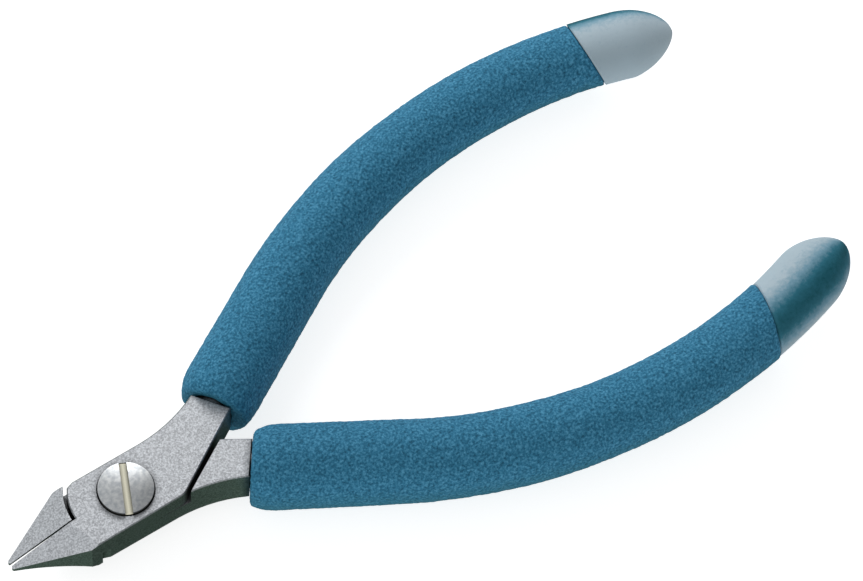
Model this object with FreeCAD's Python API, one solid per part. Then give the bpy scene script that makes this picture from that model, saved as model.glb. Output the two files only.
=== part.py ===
"""Flush cutter for electronics work: two lapped steel levers on a slotted pivot screw.

Frame: +X points from the pivot to the handles, +Y to the upper lever's handle, +Z up.
The origin is on the pivot axis, in the flat underside of the head. Sizes are millimetres.
Each lever is drawn with the jaws shut and is then opened by half of REST_OPENING.
"""
import FreeCAD
import Part

import math
import os

from FreeCAD import Vector

# Motion
REST_OPENING = 1.1          # degrees between the levers as drawn in the files
FULL_OPENING = 9.0          # degrees at the stop pin's open stop
JAW_CLEARANCE = 0.01        # each jaw's inner face to the shut plane

# Head
HEAD_THICKNESS = 6.0
MID = HEAD_THICKNESS / 2
HALF_WIDTH = 4.55
LAP_CLEARANCE = 0.02        # each lap face to the middle plane
PLATE_RADIUS = 7.4          # round front edge of each lap plate
PLATE_FRONT_ANGLE = 145.3   # where that round edge starts
FRONT_TOP_X = -5.06         # where the head's outer edge ends, ahead of it
SHOULDER_RADIUS = 7.9       # round jaw shoulder that faces it
SHOULDER_GAP = 0.5          # lap plate's straight edge to the other lever's shoulder
LAP_EDGE = (6.28, -4.26)    # a point on the lap plate's straight inner edge
LAP_EDGE_ANGLE = 31.3
LAP_EDGE_RUN = (9.0, 20.0)  # how far the edge runs before and past its corner
OVERCUT = 1.0               # how far a cutting shape stands out of the face it cuts
NECK = (4.94, 4.49)         # where the head's outer edge starts to curve into the stub
STUB_MIDDLE = (9.93, 5.14)
STUB_OUTER = (14.07, 6.66)  # where the outer edge of the steel meets the grip
STUB_INNER = (17.21, 2.38)  # where the inner edge meets it
EDGE_BREAK = 0.15

# Jaws
TIP_X = -17.0
TIP_WIDTH = 0.55
TIP_ROUND = 0.2
TIP_HALF_THICKNESS = 0.3
JAW_CORNER = (-7.94, -4.61)
TAPER_START = (-8.03, -0.71)
TAPER_ANGLE = 17.3          # lean of the taper's first line from the width of the head
HOLLOW_RADIUS = 12.0        # hollow grinding of each jaw's other side
CUTTING_LAND = 0.35         # depth of the flush land over the cutting bevel
BEVEL_ANGLE = 20.0
BEVEL_START_X = -8.8

# Pivot
SHANK_RADIUS = 2.2
SHANK_FIT = 0.03
SCREW_SEAT_FIT = 0.03       # under the screw's head
THREAD_RADIUS = 1.9
SCREW_HEAD_RADIUS = 3.55
SCREW_HEAD_PROUD = 0.9
SCREW_DOME_RADIUS = 17.0
COUNTERBORE_RADIUS = 3.72
COUNTERBORE_DEPTH = 1.2
SCREW_SLOT = (1.0, 0.8)     # width, depth
SCREW_SLOT_ANGLE = 65.0
SPRING_RADIUS = 3.2
WIRE_RADIUS = 0.3
SPRING_ROOM = 0.1           # round the wire, in its groove and its holes
SPRING_LEG = 1.1
SPRING_LEG_HOLE = 1.3
GROOVE_DEPTH = 0.38
SPRING_GAP_ANGLE = 50.0
STOP_PIN_RADIUS = 0.5
STOP_PIN_DISTANCE = 5.9
STOP_PIN_REACH = 1.2
STOP_PIN_FIT = 0.04
STOP_SLOT_SPARE = 0.2       # past the pin's end

# Handles: a straight lead, then one long bow
HANDLE_ANGLE = 29.3
BOW_RADIUS = 73.0
BOW_TOP = (68.2, 23.44)
GRIP_FRONT_X = 15.62
GRIP_FRONT_ANGLE = 36.3
HANDLE_LENGTH = 86.3
TANG_START = -1.2           # inside the stub
TANG_END = 80.0
TANG_SECTIONS = 7
LINER_END = 82.5
LINER_START = 0.4
UPPER_FOAM_END = (74.2, -4.0, -18.0)     # distance, heading and lean of the foam's rear face
LOWER_FOAM_END = (71.4, 13.0, 3.0)

# Half width across the bow and half height, at a share of each piece's length
FOAM_OVAL = ((0.0, 5.2, 5.8), (0.2, 5.15, 5.75), (0.45, 4.95, 5.35), (0.7, 4.75, 4.8), (1.0, 4.6, 4.45))
TANG_OVAL = ((0.0, 2.5, 2.9), (0.5, 2.2, 2.5), (1.0, 1.8, 2.0))
LINER_OVAL = ((0.0, 3.0, 3.4), (0.5, 2.75, 3.05), (1.0, 2.4, 2.6))
OVAL_POINTS = 16
FOAM_ROUND = (3.0, 1.0)     # length and depth of the rounding at the foam's front
FOAM_ROUND_STEPS = 5
CAP_OVAL = (4.55, 4.4)
CAP_START = 69.0            # inside the foam, cut back to its rear face
CAP_DOME = 7.0              # length of the cap's round end
CAP_SECTIONS = 14
CAP_END_SHARE = 0.12        # the flat left at the very end of the dome

FAR = 40.0


def polar(radius, degrees, z=0.0):
    angle = math.radians(degrees)
    return Vector(radius * math.cos(angle), radius * math.sin(angle), z)


def line(a, b):
    return Part.LineSegment(a, b).toShape()


def arc(a, through, b):
    return Part.Arc(a, through, b).toShape()


def prism(edges, low, high):
    """Solid between two heights over an outline drawn at height 0."""
    face = Part.Face(Part.Wire(edges))
    face.translate(Vector(0, 0, low))
    return face.extrude(Vector(0, 0, high - low))


def polygon_prism(points, low, high):
    corners = [Vector(x, y, 0) for x, y in points]
    edges = [line(corners[i - 1], corners[i]) for i in range(len(corners))]
    return prism(edges, low, high)


def disc(radius, low, high, x=0.0, y=0.0):
    return Part.makeCylinder(radius, high - low, Vector(x, y, low))


# Handle path ---------------------------------------------------------------

def handle_point(distance):
    """Point and heading of the handle's centre line, measured from the grip's front."""
    bow = math.radians(HANDLE_ANGLE)
    lead_end_x = BOW_TOP[0] - BOW_RADIUS * math.sin(bow)
    lead_end_y = BOW_TOP[1] - BOW_RADIUS * (1 - math.cos(bow))
    lead = (lead_end_x - GRIP_FRONT_X) / math.cos(bow)
    if distance <= lead:
        back = lead - distance
        x = lead_end_x - back * math.cos(bow)
        y = lead_end_y - back * math.sin(bow)
        return Vector(x, y, MID), bow
    heading = bow - (distance - lead) / BOW_RADIUS
    x = BOW_TOP[0] - BOW_RADIUS * math.sin(heading)
    y = BOW_TOP[1] - BOW_RADIUS * (1 - math.cos(heading))
    return Vector(x, y, MID), heading


def oval(place, half_width, half_height):
    """Closed oval across a path, at a point and heading."""
    centre, heading = place
    side = Vector(-math.sin(heading), math.cos(heading), 0)
    points = []
    for i in range(OVAL_POINTS):
        turn = 2 * math.pi * i / OVAL_POINTS
        rise = Vector(0, 0, half_height * math.sin(turn))
        points.append(centre + side * (half_width * math.cos(turn)) + rise)
    curve = Part.BSplineCurve()
    curve.interpolate(Points=points, PeriodicFlag=True)
    return Part.Wire(curve.toShape())


def oval_size(table, share):
    """Half width and half height at a share of the length, straight between the table's rows."""
    for (a, wide_a, high_a), (b, wide_b, high_b) in zip(table, table[1:]):
        if share <= b:
            t = (share - a) / (b - a)
            return wide_a + t * (wide_b - wide_a), high_a + t * (high_b - high_a)
    return table[-1][1:]


def handle_loft(table, start, end, sections):
    """Smooth solid of ovals along the handle between two distances."""
    wires = []
    for i in range(sections):
        share = i / (sections - 1)
        wide, high = oval_size(table, share)
        wires.append(oval(handle_point(start + share * (end - start)), wide, high))
    return Part.makeLoft(wires, True)


def behind_plane(distance, heading, lean):
    """Large block to the rear of a plane across the handle; lean tips its top to the rear."""
    centre, _ = handle_point(distance)
    block = Part.makeBox(3 * FAR, 2 * FAR, 2 * FAR, Vector(0, -FAR, -FAR))
    block.rotate(Vector(0, 0, 0), Vector(0, 1, 0), lean)
    block.rotate(Vector(0, 0, 0), Vector(0, 0, 1), heading)
    block.translate(centre)
    return block


# Levers --------------------------------------------------------------------

def lever_outline():
    """Top view of the upper lever: lap plate, jaw and handle stub."""
    slope = math.radians(LAP_EDGE_ANGLE)
    inner_y = -JAW_CLEARANCE
    neck = Vector(*NECK, 0)
    stub_outer = Vector(*STUB_OUTER, 0)
    stub_inner = Vector(*STUB_INNER, 0)
    front_arc = polar(PLATE_RADIUS, PLATE_FRONT_ANGLE)
    front_top = Vector(FRONT_TOP_X, HALF_WIDTH, 0)
    nose = Vector(-PLATE_RADIUS, 0, 0)
    jaw_root = Vector(-PLATE_RADIUS, inner_y, 0)
    tip_inner = Vector(TIP_X + TIP_ROUND, inner_y, 0)
    tip = Vector(TIP_X, inner_y - TIP_WIDTH / 2, 0)
    tip_outer = Vector(TIP_X + TIP_ROUND, inner_y - TIP_WIDTH, 0)
    corner = Vector(*JAW_CORNER, 0)
    edge_low = Vector(*LAP_EDGE, 0)
    round_in = edge_low + Vector(-0.97, -0.27, 0)
    round_mid = edge_low + Vector(-0.45, -0.2, 0)
    round_out = edge_low + Vector(0.05, 0.05 * math.tan(slope), 0)
    return [
        arc(stub_outer, Vector(*STUB_MIDDLE, 0), neck),
        line(neck, front_top),
        line(front_top, front_arc),
        arc(front_arc, polar(PLATE_RADIUS, 163), nose),
        line(nose, jaw_root),
        line(jaw_root, tip_inner),
        arc(tip_inner, tip, tip_outer),
        line(tip_outer, corner),
        line(corner, round_in),
        arc(round_in, round_mid, round_out),
        line(round_out, stub_inner),
        line(stub_inner, stub_outer),
    ]


def lap_pocket():
    """Space below the upper lever's lap plate, which the lower lever's plate fills."""
    slope = math.radians(LAP_EDGE_ANGLE)
    along = Vector(-math.cos(slope), math.sin(slope), 0)
    across = Vector(math.sin(slope), math.cos(slope), 0)
    start = Vector(LAP_EDGE[0], -LAP_EDGE[1], 0) + across * SHOULDER_GAP
    upper = start + along * LAP_EDGE_RUN[0]
    lower = start - along * LAP_EDGE_RUN[1]
    points = [(0, upper.y), (upper.x, upper.y), (lower.x, lower.y), (0, lower.y)]
    top = MID + LAP_CLEARANCE
    return disc(SHOULDER_RADIUS, -OVERCUT, top).fuse(polygon_prism(points, -OVERCUT, top))


def taper_reach():
    """Direction of the jaw's slope and its length in plan."""
    lean = math.radians(TAPER_ANGLE)
    ahead = Vector(-math.cos(lean), -math.sin(lean), 0)
    return ahead, (Vector(TIP_X, 0, 0) - Vector(*TAPER_START, 0)).dot(ahead)


def jaw_taper():
    """Block above the flat sloping top of a jaw."""
    drop = (MID - TIP_HALF_THICKNESS) / taper_reach()[1]
    block = Part.makeBox(FAR, FAR, FAR, Vector(0, -FAR / 2, 0))
    block.rotate(Vector(0, 0, 0), Vector(0, 1, 0), math.degrees(math.atan(drop)))
    block.rotate(Vector(0, 0, 0), Vector(0, 0, 1), 180 + TAPER_ANGLE)
    block.translate(Vector(*TAPER_START, HEAD_THICKNESS))
    return block


def jaw_hollow():
    """Cylinder above the hollow sloping top of a jaw."""
    ahead, reach = taper_reach()
    drop = MID - TIP_HALF_THICKNESS
    chord = math.hypot(reach, drop)
    height = math.sqrt(HOLLOW_RADIUS ** 2 - chord ** 2 / 4)
    forward = reach / 2 + height * drop / chord
    upward = -drop / 2 + height * reach / chord
    centre = Vector(*TAPER_START, HEAD_THICKNESS + upward) + ahead * forward
    across = Vector(-ahead.y, ahead.x, 0)
    return Part.makeCylinder(HOLLOW_RADIUS, 2 * FAR, centre - across * FAR, across)


def cutting_bevel():
    """Wedge cut out under the cutting edge, from behind the jaw's root to past its tip."""
    wires = []
    for x in (BEVEL_START_X, TIP_X - 1):
        share = (x - TAPER_START[0]) / (TIP_X - TAPER_START[0])
        edge = HEAD_THICKNESS - share * (MID - TIP_HALF_THICKNESS) - CUTTING_LAND
        width = (edge + 1) * math.tan(math.radians(BEVEL_ANGLE))
        outline = ((0.5, edge), (-JAW_CLEARANCE, edge), (-JAW_CLEARANCE - width, -1), (0.5, -1))
        corners = [Vector(x, y, z) for y, z in outline]
        wires.append(Part.makePolygon(corners + corners[:1]))
    return Part.makeLoft(wires, True, True)


def flipped(shape):
    """The same shape on the other lever: turned half over about the head's long middle line."""
    copy = shape.copy()
    copy.rotate(Vector(0, 0, MID), Vector(1, 0, 0), 180)
    return copy


def lever_blank(top_cut, bottom_cut):
    """Head, jaw and stub of a lever, before its bores."""
    blank = prism(lever_outline(), 0, HEAD_THICKNESS)
    blank = blank.cut(top_cut)
    blank = blank.cut(bottom_cut.mirror(Vector(0, 0, MID), Vector(0, 0, 1)))
    return break_edges(blank).cut(lap_pocket())


def break_edges(blank):
    """Small chamfer on the level edges round the head, up to the jaw."""
    outline = []
    for edge in blank.Edges:
        box = edge.BoundBox
        level = box.ZLength < 0.01 and min(box.ZMin, HEAD_THICKNESS - box.ZMax) < 0.01
        if level and box.XMax > -PLATE_RADIUS + 0.1 and box.XMin > TAPER_START[0] - 0.2:
            outline.append(edge)
    return blank.makeChamfer(EDGE_BREAK, outline)


def tang():
    return handle_loft(TANG_OVAL, TANG_START, TANG_END, TANG_SECTIONS)


def spring_groove(low, high):
    outer = disc(SPRING_RADIUS + WIRE_RADIUS + SPRING_ROOM, low, high)
    return outer.cut(disc(SPRING_RADIUS - WIRE_RADIUS - SPRING_ROOM, low - OVERCUT, high + OVERCUT))


def stop_slot():
    """Curved slot in the upper lever that lets the stop pin travel from open to shut."""
    radius = STOP_PIN_RADIUS + STOP_PIN_FIT
    top = MID + STOP_PIN_REACH + STOP_SLOT_SPARE
    last = REST_OPENING / 2
    first = last - FULL_OPENING
    inner = STOP_PIN_DISTANCE - radius
    outer = STOP_PIN_DISTANCE + radius
    corners = [polar(inner, first), polar(outer, first), polar(outer, last), polar(inner, last)]
    middle = (first + last) / 2
    slot = prism([
        line(corners[0], corners[1]),
        arc(corners[1], polar(outer, middle), corners[2]),
        line(corners[2], corners[3]),
        arc(corners[3], polar(inner, middle), corners[0]),
    ], MID - OVERCUT, top)
    ends = [polar(STOP_PIN_DISTANCE, angle) for angle in (first, last)]
    return slot.fuse([disc(radius, MID - OVERCUT, top, end.x, end.y) for end in ends])


def spring_leg_hole(angle, low, high):
    centre = polar(SPRING_RADIUS, angle)
    return disc(WIRE_RADIUS + SPRING_ROOM, low, high, centre.x, centre.y)


def opened(shape, side):
    """Turn a shut part of the upper (+1) or lower (-1) lever to its place at rest."""
    turned = shape.copy()
    turned.rotate(Vector(0, 0, 0), Vector(0, 0, 1), side * REST_OPENING / 2)
    return turned


def upper_lever():
    seat = HEAD_THICKNESS - COUNTERBORE_DEPTH
    body = lever_blank(jaw_taper(), jaw_hollow()).cut(cutting_bevel()).fuse(tang())
    body = body.cut(disc(SHANK_RADIUS + SHANK_FIT, -1, HEAD_THICKNESS + 1))
    body = body.cut(disc(COUNTERBORE_RADIUS, seat, HEAD_THICKNESS + 1))
    body = body.cut(spring_groove(MID - 1, MID + GROOVE_DEPTH))
    body = body.cut(spring_leg_hole(SPRING_GAP_ANGLE / 2, MID - OVERCUT, MID + SPRING_LEG_HOLE))
    body = body.cut(stop_slot())
    return opened(body.removeSplitter(), 1)


def lower_lever():
    bevel = cutting_bevel().mirror(Vector(0, 0, 0), Vector(0, 1, 0))
    body = flipped(lever_blank(jaw_hollow(), jaw_taper())).cut(bevel).fuse(flipped(tang()))
    body = body.cut(disc(THREAD_RADIUS, -1, HEAD_THICKNESS + 1))
    body = body.cut(spring_groove(MID - GROOVE_DEPTH, MID + 1))
    body = body.cut(spring_leg_hole(-SPRING_GAP_ANGLE / 2, MID - SPRING_LEG_HOLE, MID + OVERCUT))
    pin = polar(STOP_PIN_DISTANCE, REST_OPENING / 2)
    body = body.cut(disc(STOP_PIN_RADIUS, MID - STOP_PIN_REACH, MID + 1, pin.x, pin.y))
    return opened(body.removeSplitter(), -1)


# Pivot ---------------------------------------------------------------------

def pivot_screw():
    seat = HEAD_THICKNESS - COUNTERBORE_DEPTH + SCREW_SEAT_FIT
    top = HEAD_THICKNESS + SCREW_HEAD_PROUD
    screw = disc(THREAD_RADIUS, 0, MID)
    screw = screw.fuse(disc(SHANK_RADIUS, MID - LAP_CLEARANCE, seat))
    head = disc(SCREW_HEAD_RADIUS, seat, top)
    head = head.common(Part.makeSphere(SCREW_DOME_RADIUS, Vector(0, 0, top - SCREW_DOME_RADIUS)))
    screw = screw.fuse(head)
    width, depth = SCREW_SLOT
    slot = Part.makeBox(FAR, width, FAR, Vector(-FAR / 2, -width / 2, top - depth))
    slot.rotate(Vector(0, 0, 0), Vector(0, 0, 1), SCREW_SLOT_ANGLE)
    return screw.cut(slot).removeSplitter()


def return_spring():
    """Open ring of wire between the laps, one leg up into the upper plate and one down."""
    first = SPRING_GAP_ANGLE / 2
    last = 360 - SPRING_GAP_ANGLE / 2
    starts, middle, ends = (polar(SPRING_RADIUS, angle, MID) for angle in (first, 180, last))
    ring = arc(starts, middle, ends)
    section = Part.makeCircle(WIRE_RADIUS, polar(SPRING_RADIUS, first, MID), polar(1, first + 90))
    wire = Part.Wire(ring).makePipeShell([Part.Wire(section)], True, False)
    start = polar(SPRING_RADIUS, first)
    end = polar(SPRING_RADIUS, last)
    leg_up = disc(WIRE_RADIUS, MID, MID + SPRING_LEG, start.x, start.y)
    leg_down = disc(WIRE_RADIUS, MID - SPRING_LEG, MID, end.x, end.y)
    knees = [Part.makeSphere(WIRE_RADIUS, Vector(p.x, p.y, MID)) for p in (start, end)]
    return wire.fuse([leg_up, leg_down] + knees).removeSplitter()


def stop_pin():
    pin = polar(STOP_PIN_DISTANCE, 0)
    return disc(STOP_PIN_RADIUS, MID - STOP_PIN_REACH, MID + STOP_PIN_REACH, pin.x, pin.y)


# Grips ---------------------------------------------------------------------

def liner_shape():
    """Outside of the dipped sleeve, with its closed rear end."""
    return handle_loft(LINER_OVAL, LINER_START, LINER_END, 7)


def grip_liner():
    return liner_shape().cut(tang())


def foam_sleeve(end):
    """Outside of a foam grip, with its rounded front and the length of the given rear end."""
    length, _, _ = end
    front = math.radians(GRIP_FRONT_ANGLE)
    round_length, round_depth = FOAM_ROUND
    wires = []
    for i in range(FOAM_ROUND_STEPS + 1):
        share = i / FOAM_ROUND_STEPS
        distance = round_length * share ** 2
        inset = round_depth * (1 - math.sqrt(1 - (1 - share ** 2) ** 2))
        centre, heading = handle_point(distance)
        turned = front + (heading - front) * share ** 2
        wide, high = oval_size(FOAM_OVAL, distance / length)
        wires.append(oval((centre, turned), wide - inset, high - inset))
    for i in range(1, 9):
        distance = round_length + (length + 6 - round_length) * i / 8
        wide, high = oval_size(FOAM_OVAL, min(1.0, distance / length))
        wires.append(oval(handle_point(distance), wide, high))
    return Part.makeLoft(wires, True)


def foam_grip(end):
    sleeve = foam_sleeve(end).cut(behind_plane(*end))
    return sleeve.cut(liner_shape()).cut(tang())


def tip_cap(end):
    wide, high = CAP_OVAL
    wires = []
    for i in range(CAP_SECTIONS):
        turn = math.pi / 2 * i / (CAP_SECTIONS - 1)
        distance = CAP_START + (HANDLE_LENGTH - CAP_START) * math.sin(turn)
        into = max(0.0, 1 - (HANDLE_LENGTH - distance) / CAP_DOME)
        rounding = max(CAP_END_SHARE, math.sqrt(1 - into ** 2))
        wires.append(oval(handle_point(distance), wide * rounding, high * rounding))
    cap = Part.makeLoft(wires, True).common(behind_plane(*end))
    return cap.cut(liner_shape())


# Assembly ------------------------------------------------------------------

def build():
    parts = {
        "upper_lever": upper_lever(),
        "lower_lever": lower_lever(),
        "pivot_screw": pivot_screw(),
        "return_spring": return_spring(),
        "stop_pin": stop_pin(),
    }
    for name, side, end in (("upper", 1, UPPER_FOAM_END), ("lower", -1, LOWER_FOAM_END)):
        grip = {"foam_grip": foam_grip(end), "grip_liner": grip_liner(), "tip_cap": tip_cap(end)}
        for piece, shape in grip.items():
            drawn = shape if side > 0 else flipped(shape)
            parts[name + "_" + piece] = opened(drawn, side)
    return parts


def main():
    os.makedirs("parts", exist_ok=True)
    for name, shape in build().items():
        box = shape.BoundBox
        print(name, len(shape.Solids), shape.isValid(), round(shape.Volume, 2), box)
        shape.exportStep("parts/" + name + ".step")


main()
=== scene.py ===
import math

import bmesh
import bpy
from mathutils import Matrix, Vector, noise


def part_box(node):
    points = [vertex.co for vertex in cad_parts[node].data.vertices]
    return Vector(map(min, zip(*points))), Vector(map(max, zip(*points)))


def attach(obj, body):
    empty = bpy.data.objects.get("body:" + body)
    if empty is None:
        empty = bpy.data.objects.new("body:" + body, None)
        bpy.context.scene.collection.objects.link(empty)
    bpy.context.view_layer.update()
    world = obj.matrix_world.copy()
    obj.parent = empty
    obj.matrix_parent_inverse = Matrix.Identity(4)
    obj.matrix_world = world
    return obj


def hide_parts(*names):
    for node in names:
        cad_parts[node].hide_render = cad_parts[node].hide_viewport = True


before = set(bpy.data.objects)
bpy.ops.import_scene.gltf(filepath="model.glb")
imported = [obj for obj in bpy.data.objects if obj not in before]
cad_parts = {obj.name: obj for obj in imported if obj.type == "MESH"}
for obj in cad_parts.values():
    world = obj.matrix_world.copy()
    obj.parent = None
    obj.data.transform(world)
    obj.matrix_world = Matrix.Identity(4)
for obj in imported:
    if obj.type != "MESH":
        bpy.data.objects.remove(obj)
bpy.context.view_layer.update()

MM = 0.001

# Handle path, as in the CAD: a straight lead, then one long bow, drawn with the jaws shut
MID_HEIGHT = 3.0 * MM
HANDLE_ANGLE = math.radians(29.3)
BOW_RADIUS = 73.0 * MM
BOW_TOP = (68.2 * MM, 23.44 * MM)
GRIP_FRONT_X = 15.62 * MM
REST_OPENING = math.radians(1.1)

# Each foam grip: distances of its two ends, headings of the faces there, lean of the rear one, extra
# width, and how far the rings at its front are moved to the outside
FOAM = {
    "upper": dict(start=0.25 * MM, end=74.2 * MM, front=math.radians(34), rear=math.radians(-4),
                  lean=math.radians(-18), extra=-0.08 * MM, aside=-0.4 * MM),
    "lower": dict(start=0.05 * MM, end=71.4 * MM, front=math.radians(35.5), rear=math.radians(13),
                  lean=math.radians(3), extra=0.13 * MM, aside=0.0),
}
HANDLE_LENGTH = {"upper": 86.2 * MM, "lower": 86.7 * MM}

# Camera: angles in degrees, the rest in metres, lens in millimetres
VIEW_TURN = 38.05
VIEW_HEIGHT = 62.30
VIEW_ROLL = -4.87
VIEW_DISTANCE = 0.6793
VIEW_TARGET = (0.04876, 0.0040, 0.003)
VIEW_LENS = 220.8


# Handle shapes -------------------------------------------------------------

def handle_point(distance):
    """Point and heading of the handle's centre line, measured from the grip's front."""
    lead_end = Vector((BOW_TOP[0] - BOW_RADIUS * math.sin(HANDLE_ANGLE),
                       BOW_TOP[1] - BOW_RADIUS * (1 - math.cos(HANDLE_ANGLE)), MID_HEIGHT))
    lead = (lead_end.x - GRIP_FRONT_X) / math.cos(HANDLE_ANGLE)
    if distance <= lead:
        ahead = Vector((math.cos(HANDLE_ANGLE), math.sin(HANDLE_ANGLE), 0))
        return lead_end - ahead * (lead - distance), HANDLE_ANGLE
    heading = HANDLE_ANGLE - (distance - lead) / BOW_RADIUS
    x = BOW_TOP[0] - BOW_RADIUS * math.sin(heading)
    y = BOW_TOP[1] - BOW_RADIUS * (1 - math.cos(heading))
    return Vector((x, y, MID_HEIGHT)), heading


def table_value(table, share):
    """Smooth half width and half height, in metres, at a share of a piece's length."""
    for (a, wide_a, high_a), (b, wide_b, high_b) in zip(table, table[1:]):
        if share <= b:
            t = (share - a) / (b - a)
            t = t * t * (3 - 2 * t)
            return (wide_a + t * (wide_b - wide_a)) * MM, (high_a + t * (high_b - high_a)) * MM
    return table[-1][1] * MM, table[-1][2] * MM


FOAM_OVAL = ((0.0, 5.2, 5.8), (0.2, 5.15, 5.75), (0.45, 4.95, 5.35), (0.7, 4.75, 4.8), (1.0, 4.6, 4.45))
LINER_OVAL = ((0.0, 3.0, 3.4), (0.5, 2.75, 3.05), (1.0, 2.4, 2.6))


def ring_points(distance, half_width, half_height, around, tilt=0.0, lean=0.0, aside=0.0):
    """One closed ring across the handle; tilt and lean slant its plane, aside moves it outwards."""
    centre, heading = handle_point(distance)
    side = Vector((-math.sin(heading), math.cos(heading), 0))
    ahead = Vector((math.cos(heading), math.sin(heading), 0))
    points = []
    for i in range(around):
        turn = 2 * math.pi * i / around
        across = half_width * math.cos(turn)
        rise = half_height * math.sin(turn)
        slant = ahead * (tilt * across + lean * rise)
        points.append(centre + side * (across + aside) + slant + Vector((0, 0, rise)))
    return points


def skin(name, rings):
    """Closed mesh through a list of rings, the first and last filled by a fan."""
    mesh = bmesh.new()
    around = len(rings[0])
    rows = [[mesh.verts.new(p) for p in ring] for ring in rings]
    for row, following in zip(rows, rows[1:]):
        for i in range(around):
            j = (i + 1) % around
            mesh.faces.new((row[i], row[j], following[j], following[i]))
    for row, turned in ((rows[0], True), (rows[-1], False)):
        middle = mesh.verts.new(sum((v.co for v in row), Vector()) / around)
        for i in range(around):
            j = (i + 1) % around
            corners = (row[j], row[i], middle) if turned else (row[i], row[j], middle)
            mesh.faces.new(corners)
    bmesh.ops.recalc_face_normals(mesh, faces=mesh.faces)
    return finish_mesh(name, mesh)


def loop_skin(name, rings):
    """Closed tube-like mesh: the last ring joins the first."""
    mesh = bmesh.new()
    around = len(rings[0])
    rows = [[mesh.verts.new(p) for p in ring] for ring in rings]
    for row, following in zip(rows, rows[1:] + rows[:1]):
        for i in range(around):
            j = (i + 1) % around
            mesh.faces.new((row[i], row[j], following[j], following[i]))
    bmesh.ops.recalc_face_normals(mesh, faces=mesh.faces)
    return finish_mesh(name, mesh)


def finish_mesh(name, mesh):
    """Smooth-shaded object from a finished bmesh."""
    data = bpy.data.meshes.new(name)
    mesh.to_mesh(data)
    mesh.free()
    for polygon in data.polygons:
        polygon.use_smooth = True
    piece = bpy.data.objects.new(name, data)
    bpy.context.scene.collection.objects.link(piece)
    return piece


def place_on(piece, body):
    """Turn a piece drawn for the upper lever to its place at rest, and make it ride there."""
    if body == "lower":
        flip = Matrix.Translation((0, 0, MID_HEIGHT)) @ Matrix.Rotation(math.pi, 4, "X")
        piece.data.transform(flip @ Matrix.Translation((0, 0, -MID_HEIGHT)))
    side = 1 if body == "upper" else -1
    piece.data.transform(Matrix.Rotation(side * REST_OPENING / 2, 4, "Z"))
    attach(piece, body)


# Foam ----------------------------------------------------------------------

FOAM_STEP = 0.2 * MM
FOAM_AROUND = 168
FRONT_ROUND = 3.6 * MM      # length of the rounding at the foam's front
FRONT_INSET = 1.15 * MM
REAR_ROUND = 0.4 * MM
SLANT_FADE = 9 * MM         # over this length an end's slant fades out
BORE_STRIDE = 8             # the bore has one ring for this many of the outside
# Rings that close the bore round the stub at the front: distance, half width, half height
MOUTH_RINGS = ((0.5, 2.9, 3.3), (0.12, 2.62, 3.02), (0.02, 2.92, 3.32))
PEBBLES = ((1.9, 1.0), (0.8, 0.5))      # noise per millimetre, share of the depth
GRAIN_DEPTH = 0.07 * MM


def foam_slant(body, distance):
    """Tilt and lean of a ring of the foam, so that each end is cut as on the tool."""
    cut = FOAM[body]
    _, rear_heading = handle_point(cut["end"])
    front_fade = max(0.0, 1 - (distance - cut["start"]) / SLANT_FADE)
    rear_fade = max(0.0, 1 - (cut["end"] - distance) / SLANT_FADE)
    front = -math.tan(cut["front"] - HANDLE_ANGLE) * front_fade
    rear = math.tan(rear_heading - cut["rear"]) * rear_fade
    return front + rear, math.tan(cut["lean"]) * rear_fade


def foam_inset(body, distance):
    """How far the foam's skin is drawn in near its two ends."""
    cut = FOAM[body]
    front = max(0.0, 1 - (distance - cut["start"]) / FRONT_ROUND)
    rear = max(0.0, 1 - (cut["end"] - distance) / REAR_ROUND)
    front_inset = FRONT_INSET * (1 - math.sqrt(1 - front ** 2))
    return front_inset + REAR_ROUND * (1 - math.sqrt(1 - rear ** 2))


def bore_rings(body, count):
    """Rings of the foam's bore, from the rear face to the front, which fits round the steel."""
    cut = FOAM[body]
    length = cut["end"] - cut["start"]
    rings = []
    for i in range(count, -1, -BORE_STRIDE):
        distance = cut["start"] + length * i / count
        wide, high = table_value(LINER_OVAL, distance / length)
        rings.append(ring_points(distance, wide, high, FOAM_AROUND, *foam_slant(body, distance)))
    rings.pop()
    for along, wide, high in MOUTH_RINGS:
        rings.append(ring_points(cut["start"] + along * MM, wide * MM, high * MM, FOAM_AROUND,
                                 *foam_slant(body, cut["start"])))
    return rings


def foam_grip(body):
    """Foam sleeve on one handle, drawn round its bore."""
    cut = FOAM[body]
    length = cut["end"] - cut["start"]
    count = round(length / FOAM_STEP)
    rings = []
    for i in range(count + 1):
        distance = cut["start"] + length * i / count
        wide, high = table_value(FOAM_OVAL, distance / length)
        inset = foam_inset(body, distance) - cut["extra"]
        aside = cut["aside"] * max(0.0, 1 - (distance - cut["start"]) / FRONT_ROUND) ** 2
        rings.append(ring_points(distance, wide - inset, high - inset, FOAM_AROUND,
                                 *foam_slant(body, distance), aside))
    rings += bore_rings(body, count)
    piece = loop_skin(body + "_foam", rings)
    roughen(piece)
    place_on(piece, body)
    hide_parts(body + "_foam_grip")
    piece.data.materials.append(foam_material())
    return piece


def roughen(piece):
    """Shallow pebbles pressed into the foam's skin."""
    vertices = piece.data.vertices
    normals = [vertex.normal.copy() for vertex in vertices]
    for vertex, normal in zip(vertices, normals):
        spot = vertex.co / MM
        pebble = sum(share * noise.noise(spot * scale) for scale, share in PEBBLES)
        vertex.co += normal * (GRAIN_DEPTH * pebble)


# Caps and liners -----------------------------------------------------------

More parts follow.
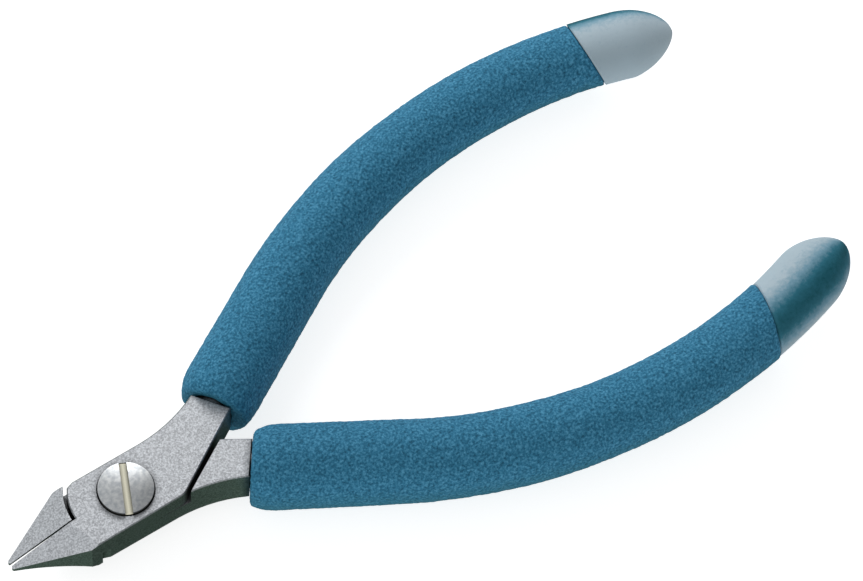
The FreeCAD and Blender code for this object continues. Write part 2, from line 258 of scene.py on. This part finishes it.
CAP_AROUND = 96
CAP_STEPS = 60
CAP_OVAL = (4.6 * MM, 4.4 * MM)
CAP_DOME = 7.0 * MM
CAP_ASIDE = 0.5 * MM        # the dome's end leans to the outside of the bow
CAP_SLANT_FADE = 7 * MM
DOME_POWERS = (1.8, 0.6)    # shape of every round end
DOME_END_SHARE = 0.02       # the flat left at the very end
CAP_BORE = (2.7 * MM, 2.9 * MM)
CAP_BORE_END = 82.7 * MM
CAP_BORE_STEPS = 30
BORE_DOME = 3 * MM          # round end of the cap's bore and of the liner
CAP_SEAM = 0.03 * MM
# Where the blue core shows: degrees up from the outside of the bow, spread, share at the foam and at the tip
CORE = {"upper": (24.0, 32.0, 1.2, 0.75), "lower": (55.0, 38.0, 0.85, 1.0)}
LINER_START = 1.6 * MM
LINER_END = 82.3 * MM
LINER_STEPS = 160
LINER_GAP = 0.06 * MM


def round_off(into):
    """Share of the full radius left at a share into a round end."""
    sharpness, fullness = DOME_POWERS
    return max(DOME_END_SHARE, (1 - min(1.0, into) ** sharpness) ** fullness)


def cap_rings(body, oval, start, end, dome, steps):
    """Rings of a round-ended rod that starts at the foam's rear face."""
    rings = []
    for i in range(steps + 1):
        distance = start + (end - start) * math.sin(i / steps * math.pi / 2)
        into = max(0.0, (distance - (end - dome)) / dome)
        _, heading = handle_point(start)
        fade = max(0.0, 1 - (distance - start) / CAP_SLANT_FADE)
        tilt = math.tan(heading - FOAM[body]["rear"]) * fade
        lean = math.tan(FOAM[body]["lean"]) * fade
        share = round_off(into)
        rings.append(ring_points(distance, oval[0] * share, oval[1] * share, CAP_AROUND,
                                 tilt, lean, CAP_ASIDE * into ** 2))
    return rings


def tip_cap(body):
    """Hollow cap on the end of one handle."""
    start = FOAM[body]["end"] + CAP_SEAM
    outer = cap_rings(body, CAP_OVAL, start, HANDLE_LENGTH[body], CAP_DOME, CAP_STEPS)
    inner = cap_rings(body, CAP_BORE, start, CAP_BORE_END, BORE_DOME, CAP_BORE_STEPS)
    piece = skin(body + "_cap", list(reversed(inner)) + outer)
    paint_core(piece, body, len(inner), len(outer))
    place_on(piece, body)
    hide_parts(body + "_tip_cap")
    piece.data.materials.append(cap_material())
    return piece


def paint_core(piece, body, first, count):
    """Store how near the blue core lies under each point of the cap's outside."""
    layer = piece.data.attributes.new("core", "FLOAT", "POINT")
    up = 1 if body == "upper" else -1
    core_turn, spread, near_foam, near_tip = CORE[body]
    for row in range(count):
        along = row / (count - 1)
        for i in range(CAP_AROUND):
            turn = math.degrees(2 * math.pi * i / CAP_AROUND) * up
            away = abs((turn - core_turn + 180) % 360 - 180) / spread
            near = math.exp(-away ** 2) * (near_foam + (near_tip - near_foam) * along)
            layer.data[(first + row) * CAP_AROUND + i].value = near


def grip_liner(body):
    """Sleeve under the foam, from near the stub to inside the cap."""
    rings = []
    for i in range(LINER_STEPS + 1):
        share = math.sin(i / LINER_STEPS * math.pi / 2)
        distance = LINER_START + (LINER_END - LINER_START) * share
        wide, high = table_value(LINER_OVAL, share)
        rounding = round_off(max(0.0, 1 - (LINER_END - distance) / BORE_DOME))
        across, upright = (wide - LINER_GAP) * rounding, (high - LINER_GAP) * rounding
        rings.append(ring_points(distance, across, upright, CAP_AROUND))
    piece = skin(body + "_liner", rings)
    place_on(piece, body)
    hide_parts(body + "_grip_liner")
    piece.data.materials.append(liner_material())
    return piece


# Materials -----------------------------------------------------------------

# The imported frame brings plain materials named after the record's slots, so these have names of their own
STEEL_GRAIN = 4600          # noise features per metre
FOAM_GRAIN = 3000
STEEL_GAP = 1.2 * MM        # gaps up to this width get painted shade on the levers
# painted shade reaches into gaps up to this width on the screw
SCREW_GAP = 0.5 * MM
SLOT_FLOOR = 6.15 * MM      # height below which the screw's metal is the bottom of its slot, which gets painted light


def new_material(name):
    """Node material with its tree and shader, or the finished one if it is already made."""
    material = bpy.data.materials.get(name)
    if material:
        return material, None, None
    material = bpy.data.materials.new(name)
    material.use_nodes = True
    tree = material.node_tree
    return material, tree, tree.nodes["Principled BSDF"]


def add(tree, kind, **values):
    """New node, its inputs or settings given by name."""
    node = tree.nodes.new(kind)
    for key, value in values.items():
        if key in node.inputs:
            node.inputs[key].default_value = value
        else:
            setattr(node, key, value)
    return node


def ramp(tree, source, stops):
    """Colour ramp over a value, as (place, (r, g, b)) stops."""
    node = tree.nodes.new("ShaderNodeValToRGB")
    elements = node.color_ramp.elements
    while len(elements) < len(stops):
        elements.new(0.5)
    for element, (place, colour) in zip(elements, stops):
        element.position = place
        element.color = (*colour, 1)
    tree.links.new(source, node.inputs["Fac"])
    return node


def object_point(tree):
    """Place on the object, in metres, as a pattern's coordinates."""
    return tree.nodes.new("ShaderNodeTexCoord").outputs["Object"]


def noise_value(tree, scale, detail=4.0, roughness=0.55):
    """Noise over the object, with this many features per metre."""
    node = add(tree, "ShaderNodeTexNoise", Scale=scale, Detail=detail, Roughness=roughness)
    tree.links.new(object_point(tree), node.inputs["Vector"])
    return node.outputs["Fac"]


def to_range(tree, source, low, high, first=0.0, last=1.0):
    """Value that goes from low to high while the source goes from first to last."""
    node = tree.nodes.new("ShaderNodeMapRange")
    node.inputs["From Min"].default_value = first
    node.inputs["From Max"].default_value = last
    node.inputs["To Min"].default_value = low
    node.inputs["To Max"].default_value = high
    tree.links.new(source, node.inputs["Value"])
    return node.outputs["Result"]


def bump(tree, shader, source, distance, strength):
    """Fine relief on a shader, from a value."""
    node = add(tree, "ShaderNodeBump", Strength=strength, Distance=distance)
    tree.links.new(source, node.inputs["Height"])
    tree.links.new(node.outputs["Normal"], shader.inputs["Normal"])


def mix_colours(tree, factor, first, second):
    """Mix of a colour source and a fixed colour, by a value source."""
    mix = add(tree, "ShaderNodeMix", data_type="RGBA")
    tree.links.new(factor, mix.inputs["Factor"])
    tree.links.new(first, mix.inputs[6])
    mix.inputs[7].default_value = (*second, 1)
    return mix.outputs[2]


def shade_crevices(tree, shader, colour, reach, power):
    """Paint shade into a colour, darkening it in slots and gaps no wider than the reach."""
    hollow = tree.nodes.new("ShaderNodeAmbientOcclusion")
    hollow.samples = 8
    hollow.inputs["Distance"].default_value = reach
    depth = add(tree, "ShaderNodeMath", operation="POWER")
    tree.links.new(hollow.outputs["AO"], depth.inputs[0])
    depth.inputs[1].default_value = power
    mix = add(tree, "ShaderNodeMix", data_type="RGBA", blend_type="MULTIPLY")
    mix.inputs["Factor"].default_value = 1.0
    tree.links.new(colour, mix.inputs[6])
    tree.links.new(depth.outputs["Value"], mix.inputs[7])
    tree.links.new(mix.outputs[2], shader.inputs["Base Color"])


def satin_steel():
    """Blasted steel of the levers, speckled, with painted shade in their gaps."""
    material, tree, shader = new_material("lever_finish_and_painted_shade")
    if tree is None:
        return material
    shader.inputs["Metallic"].default_value = 1.0
    grain = noise_value(tree, STEEL_GRAIN, 3.0)
    colour = ramp(tree, grain, [(0.36, (0.38, 0.39, 0.41)), (0.64, (0.7, 0.72, 0.75))])
    # painted shade: the steel's colour is darkened in the levers' gaps and seams
    shade_crevices(tree, shader, colour.outputs["Color"], STEEL_GAP, 1.6)
    tree.links.new(to_range(tree, noise_value(tree, 900), 0.38, 0.52), shader.inputs["Roughness"])
    bump(tree, shader, grain, 0.03 * MM, 0.6)
    return material


def screw_steel():
    """Turned steel of the screw, with painted light on the bottom of its slot and painted shade in its slot.
    """
    material, tree, shader = new_material("screw_finish_painted_light_and_shade")
    if tree is None:
        return material
    shader.inputs["Metallic"].default_value = 1.0
    grain = noise_value(tree, 1800, 3.0)
    colour = ramp(tree, grain, [(0.35, (0.4, 0.42, 0.44)), (0.65, (0.58, 0.59, 0.59))])
    height = tree.nodes.new("ShaderNodeSeparateXYZ")
    tree.links.new(object_point(tree), height.inputs["Vector"])
    in_slot = add(tree, "ShaderNodeMath", operation="LESS_THAN")
    tree.links.new(height.outputs["Z"], in_slot.inputs[0])
    in_slot.inputs[1].default_value = SLOT_FLOOR
    # painted light: the bottom of the slot is given a paler, yellowish colour
    metal = mix_colours(tree, in_slot.outputs["Value"], colour.outputs["Color"], (0.8, 0.77, 0.62))
    # painted shade: the screw's colour is darkened in its slot and round its head
    shade_crevices(tree, shader, metal, SCREW_GAP, 1.3)
    tree.links.new(to_range(tree, noise_value(tree, 1500), 0.34, 0.46), shader.inputs["Roughness"])
    bump(tree, shader, noise_value(tree, 4000, 2.0), 0.01 * MM, 0.4)
    return material


def spring_steel():
    """Dark drawn wire of the spring and the stop pin."""
    material, tree, shader = new_material("spring_finish")
    if tree is None:
        return material
    shader.inputs["Metallic"].default_value = 1.0
    colour = ramp(tree, noise_value(tree, 800), [(0.3, (0.25, 0.25, 0.26)), (0.7, (0.4, 0.4, 0.4))])
    tree.links.new(colour.outputs["Color"], shader.inputs["Base Color"])
    tree.links.new(to_range(tree, noise_value(tree, 2000), 0.25, 0.4), shader.inputs["Roughness"])
    return material


def painted_underside_shade(tree, most):
    """Strength of painted shade, which grows to the given most as the surface turns over, from facing up to
    facing down.
    """
    facing = tree.nodes.new("ShaderNodeSeparateXYZ")
    tree.links.new(tree.nodes.new("ShaderNodeTexCoord").outputs["Normal"], facing.inputs["Vector"])
    return to_range(tree, facing.outputs["Z"], 0.0, most, 0.35, -0.35)


def foam_material():
    """Pebbled blue foam, with painted shade that makes it darker and greener on its underside."""
    material, tree, shader = new_material("foam_finish_and_painted_shade")
    if tree is None:
        return material
    grain = noise_value(tree, FOAM_GRAIN, 4.0, 0.6)
    colour = ramp(tree, grain, [
        (0.3, (0.012, 0.09, 0.16)),
        (0.5, (0.033, 0.195, 0.335)),
        (0.7, (0.1, 0.355, 0.555)),
    ])
    # painted shade: the foam's underside is darkened and turned greener
    shaded = mix_colours(tree, painted_underside_shade(tree, 0.65), colour.outputs["Color"], (0.012, 0.115, 0.14))
    tree.links.new(shaded, shader.inputs["Base Color"])
    shader.inputs["Roughness"].default_value = 0.8
    shader.inputs["Specular IOR Level"].default_value = 0.2
    bump(tree, shader, grain, 0.13 * MM, 1.0)
    return material


def cap_material():
    """Frosted plastic over a blue core, mixed by the cap's core attribute."""
    material, tree, shader = new_material("cap_finish")
    if tree is None:
        return material
    core = tree.nodes.new("ShaderNodeAttribute")
    core.attribute_name = "core"
    cloud = to_range(tree, noise_value(tree, 1500, 5.0, 0.75), -0.3, 0.3)
    depth = add(tree, "ShaderNodeMath", operation="ADD")
    tree.links.new(core.outputs["Fac"], depth.inputs[0])
    tree.links.new(cloud, depth.inputs[1])
    colour = ramp(tree, depth.outputs["Value"], [
        (0.05, (0.47, 0.58, 0.65)),
        (0.35, (0.2, 0.38, 0.49)),
        (0.65, (0.03, 0.19, 0.27)),
        (1.0, (0.005, 0.1, 0.135)),
    ])
    tree.links.new(colour.outputs["Color"], shader.inputs["Base Color"])
    bump(tree, shader, noise_value(tree, 1800, 3.0), 0.05 * MM, 1.0)
    tree.links.new(to_range(tree, noise_value(tree, 600), 0.5, 0.65), shader.inputs["Roughness"])
    shader.inputs["Transmission Weight"].default_value = 0.12
    shader.inputs["IOR"].default_value = 1.45
    shader.inputs["Specular IOR Level"].default_value = 0.25
    return material


def liner_material():
    """Blue dipped sleeve under the foam."""
    material, tree, shader = new_material("liner_finish")
    if tree is None:
        return material
    colour = ramp(tree, noise_value(tree, 300), [(0.3, (0.02, 0.13, 0.19)), (0.7, (0.04, 0.2, 0.27))])
    tree.links.new(colour.outputs["Color"], shader.inputs["Base Color"])
    shader.inputs["Roughness"].default_value = 0.5
    return material


def dress(node, material):
    """Give a CAD node a finished material."""
    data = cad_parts[node].data
    data.materials.clear()
    data.materials.append(material)


# Stage ---------------------------------------------------------------------

FLOOR_SIZE = 3
KEY_PLACE = (0.37, 0.6, 0.42)
KEY_SIZE = 0.5
KEY_POWER = 3.8
WORLD_COLOURS = [       # from straight down to straight up
    (0.0, (0.04, 0.075, 0.05)),
    (0.5, (0.13, 0.19, 0.145)),
    (0.62, (0.38, 0.4, 0.4)),
    (0.95, (0.64, 0.65, 0.66)),
]
WORLD_STRENGTHS = (1.55, 0.2)       # on the jaws' side and on the handles' side


def floor():
    """Pale floor at the height of the foam's underside."""
    low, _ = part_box("lower_foam_grip")
    bpy.ops.mesh.primitive_plane_add(size=FLOOR_SIZE, location=(VIEW_TARGET[0], VIEW_TARGET[1], low.z))
    plane = bpy.context.object
    plane.name = "floor"
    material, tree, shader = new_material("floor_finish")
    shader.inputs["Base Color"].default_value = (0.5, 0.5, 0.5, 1)
    shader.inputs["Roughness"].default_value = 0.9
    shader.inputs["Emission Color"].default_value = (1, 1, 1, 1)
    shader.inputs["Emission Strength"].default_value = 0.8
    plane.data.materials.append(material)
    plane.visible_glossy = False


def area_light(name, place, size, power):
    """Round area light that faces the tool."""
    data = bpy.data.lights.new(name, "AREA")
    data.shape = "DISK"
    data.size = size
    data.energy = power
    lamp = bpy.data.objects.new(name, data)
    bpy.context.scene.collection.objects.link(lamp)
    lamp.location = place
    towards = Vector(VIEW_TARGET) - Vector(place)
    lamp.rotation_mode = "QUATERNION"
    lamp.rotation_quaternion = towards.to_track_quat("-Z", "Y")


def world_light():
    """Surroundings that are dark green below, pale above, and brighter on the jaws' side."""
    world = bpy.data.worlds.new("studio")
    bpy.context.scene.world = world
    world.use_nodes = True
    tree = world.node_tree
    background = tree.nodes["Background"]
    up = tree.nodes.new("ShaderNodeSeparateXYZ")
    tree.links.new(tree.nodes.new("ShaderNodeTexCoord").outputs["Generated"], up.inputs["Vector"])
    colour = ramp(tree, to_range(tree, up.outputs["Z"], 0.0, 1.0, -1.0, 1.0), WORLD_COLOURS)
    tree.links.new(colour.outputs["Color"], background.inputs["Color"])
    strength = to_range(tree, up.outputs["X"], *WORLD_STRENGTHS, -0.6, 0.6)
    tree.links.new(strength, background.inputs["Strength"])


def camera():
    """Camera at the angles of the view, aimed so that the tool fills it."""
    data = bpy.data.cameras.new("camera")
    data.lens = VIEW_LENS
    data.sensor_width = 36.0
    data.clip_start = 0.05
    data.clip_end = 20
    eye = bpy.data.objects.new("camera", data)
    bpy.context.scene.collection.objects.link(eye)
    turn = (Matrix.Rotation(-math.radians(VIEW_TURN), 4, "Z")
            @ Matrix.Rotation(math.radians(90 - VIEW_HEIGHT), 4, "X")
            @ Matrix.Rotation(-math.radians(VIEW_ROLL), 4, "Z"))
    back = turn.to_3x3() @ Vector((0, 0, 1))
    eye.matrix_world = Matrix.Translation(Vector(VIEW_TARGET) + back * VIEW_DISTANCE) @ turn
    bpy.context.scene.camera = eye


for side in ("upper", "lower"):
    foam_grip(side)
    tip_cap(side)
    grip_liner(side)
    dress(side + "_lever", satin_steel())
dress("pivot_screw", screw_steel())
dress("return_spring", spring_steel())
dress("stop_pin", spring_steel())
floor()
area_light("key", KEY_PLACE, KEY_SIZE, KEY_POWER)
world_light()
camera()
bpy.context.scene.view_settings.view_transform = "Standard"
